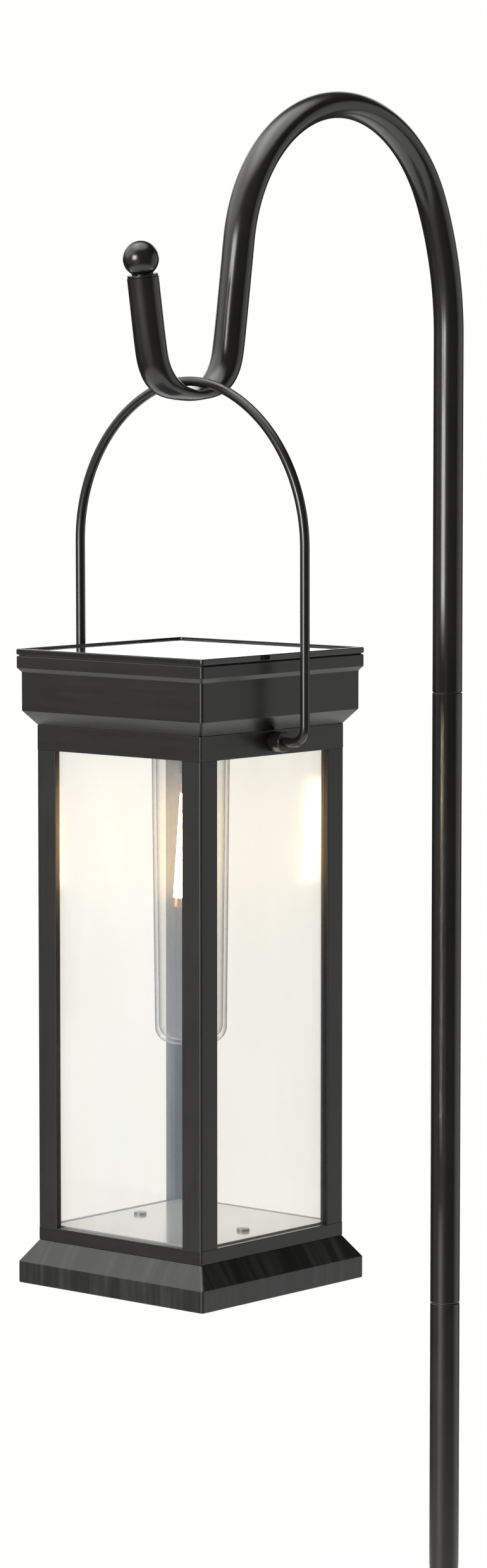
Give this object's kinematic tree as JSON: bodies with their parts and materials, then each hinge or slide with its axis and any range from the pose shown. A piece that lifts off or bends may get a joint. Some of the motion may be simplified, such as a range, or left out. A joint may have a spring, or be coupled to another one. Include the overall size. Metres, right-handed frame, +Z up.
{
  "type": "solar garden light",
  "caption": "Solar garden light: a square glazed lantern with a panel in its cap, hung by a wire bail from a tube shepherd's hook that pushes into the ground.",
  "frame": {"origin": "centre of the pole at ground level, where the spike's collar meets the soil", "axes": "+Z up along the pole; the hook and the lantern reach out along -X; the bail's pivots lie along Y"},
  "size_m": [0.2883, 0.156, 1.1836],
  "materials": {
    "black_steel": "satin",
    "black_plastic": "satin",
    "grey_plastic": "matte",
    "bright_steel": "brushed",
    "dark_steel": "satin",
    "pale_plate": "gloss",
    "window_glass": "clear",
    "clear_tube": "clear",
    "warm_filament": "glowing",
    "copper_cap": "satin",
    "cell_blue": "gloss",
    "panel_glass": "clear",
    "green_board": "satin",
    "chip_black": "satin",
    "red_wire": "satin",
    "battery_sleeve": "gloss",
    "contact_brass": "polished",
    "gasket_rubber": "matte",
    "switch_white": "gloss"
  },
  "bodies": {
    "stake": {"ground_spike": "black_plastic", "lower_pole": "black_steel", "lower_joiner": "dark_steel"},
    "mid_pole": {"middle_pole": "black_steel", "upper_joiner": "dark_steel"},
    "hook": {"hook_pole": "black_steel", "hook_ball": "black_steel"},
    "bail": {"bail_handle": "black_steel", "bail_washers": "bright_steel"},
    "lantern": {"pivot_bushes": "black_plastic", "plinth": "black_plastic", "base_cover": "black_plastic", "base_cover_screws": "bright_steel", "floor_plate": "pale_plate", "floor_screws": "dark_steel", "bottom_rail": "black_steel", "top_rail": "black_steel", "corner_post_1": "black_steel", "corner_post_2": "black_steel", "corner_post_3": "black_steel", "corner_post_4": "black_steel", "glass_pane_front": "window_glass", "glass_pane_back": "window_glass", "glass_pane_left": "window_glass", "glass_pane_right": "window_glass", "pane_beads": "black_plastic"},
    "cap": {"cap_shell": "black_plastic", "lid_gasket": "gasket_rubber", "lid_frame": "black_plastic", "cell_board": "green_board", "solar_cells": "cell_blue", "panel_cover": "panel_glass", "module_tray": "grey_plastic", "tray_screws": "bright_steel", "battery_holder": "black_plastic", "battery": "battery_sleeve", "battery_contacts": "contact_brass", "battery_door": "grey_plastic", "battery_door_screw": "bright_steel", "circuit_board": "green_board", "board_parts": "chip_black", "internal_wires": "red_wire", "switch_body": "black_plastic", "lamp_holder": "black_plastic", "bulb_tube": "clear_tube", "led_filament": "warm_filament", "filament_caps": "copper_cap", "filament_wires": "bright_steel"},
    "switch": {"switch_slider": "switch_white"}
  },
  "joints": [
    {"name": "middle_pole_pull", "type": "slide", "parent": "stake", "child": "mid_pole", "axis": [0, 0, 1], "range_m": [0, 0.045]},
    {"name": "hook_swivel", "type": "hinge", "parent": "mid_pole", "child": "hook", "pos_m": [0, 0, 0.666], "axis": [0, 0, 1], "continuous": true},
    {"name": "bail_sway", "type": "hinge", "parent": "hook", "child": "bail", "pos_m": [-0.20879, 0, 0.82352], "axis": [1, 0, 0], "range_deg": [-20, 20]},
    {"name": "lantern_swing", "type": "hinge", "parent": "bail", "child": "lantern", "pos_m": [-0.20879, 0, 0.65584], "axis": [0, 1, 0], "range_deg": [-30, 90]},
    {"name": "cap_lift", "type": "slide", "parent": "lantern", "child": "cap", "axis": [0, 0, 1], "range_m": [0, 0.07]},
    {"name": "switch_slide", "type": "slide", "parent": "cap", "child": "switch", "axis": [1, 0, 0], "range_m": [0, 0.0052]}
  ]
}
